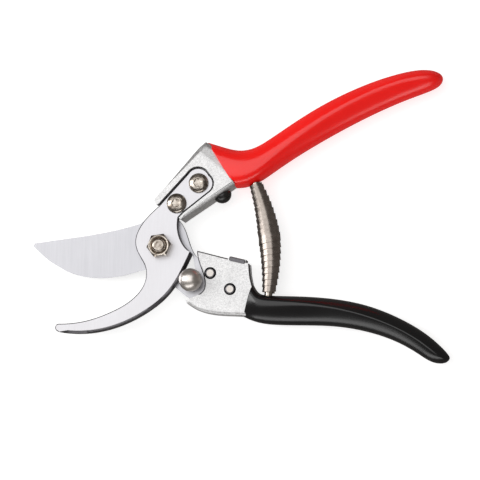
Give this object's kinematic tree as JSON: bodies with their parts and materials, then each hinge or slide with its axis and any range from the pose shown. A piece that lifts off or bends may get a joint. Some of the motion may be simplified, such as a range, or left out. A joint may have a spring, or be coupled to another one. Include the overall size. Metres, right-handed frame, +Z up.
{
  "type": "pruning shears",
  "caption": "Bypass pruning shears with a replaceable counter blade, dipped handles, a barrel spring and a thumb lock, lying open.",
  "frame": {"origin": "on the pivot axis, on the underside of the pivot bolt's head, which the shears lie on", "axes": "+Z up the pivot axis from the bolt head to the nut, +X from the blades towards the handles, the cutting blade on the +Y side of the counter blade"},
  "size_m": [0.1933, 0.1355, 0.0185],
  "materials": {
    "blade_steel": "satin ground carbon steel",
    "hook_steel": "smooth satin plated steel",
    "silver_paint": "fine silver metallic paint",
    "red_vinyl": "glossy dipped vinyl, red",
    "black_vinyl": "glossy dipped vinyl, black",
    "black_rubber": "matt rubber",
    "nickel_steel": "nickel plated steel",
    "polished_steel": "polished plated steel",
    "rivet_steel": "bare steel, flush",
    "spring_steel": "nickel plated spring strip"
  },
  "bodies": {
    "root": {"counter_blade": "hook_steel", "upper_handle": "silver_paint", "upper_grip": "red_vinyl", "bumper": "black_rubber", "pivot_bolt": "nickel_steel", "pivot_nut": "nickel_steel", "lock_ring": "nickel_steel", "handle_screw_1": "nickel_steel", "handle_screw_2": "nickel_steel", "spring": "spring_steel", "spring_peg_upper": "nickel_steel"},
    "lower_side": {"cutting_blade": "blade_steel", "lower_handle": "silver_paint", "lower_grip": "black_vinyl", "blade_rivet_1": "rivet_steel", "blade_rivet_2": "rivet_steel", "spring_peg_lower": "nickel_steel"},
    "lock": {"lock_knob": "polished_steel", "lock_bar": "nickel_steel", "lock_washer": "nickel_steel"}
  },
  "joints": [
    {"name": "handle_pivot", "type": "hinge", "parent": "root", "child": "lower_side", "pos_m": [0, 0, 0.0057], "axis": [0, 0, 1], "range_deg": [0, 41.5], "stiffness_Nm_per_rad": 3, "springref_deg": -9.74, "deforming": ["spring"]},
    {"name": "lock_slide", "type": "slide", "parent": "lower_side", "child": "lock", "axis": [-0.1959, 0.9806, 0], "range_m": [0, 0.004]}
  ]
}
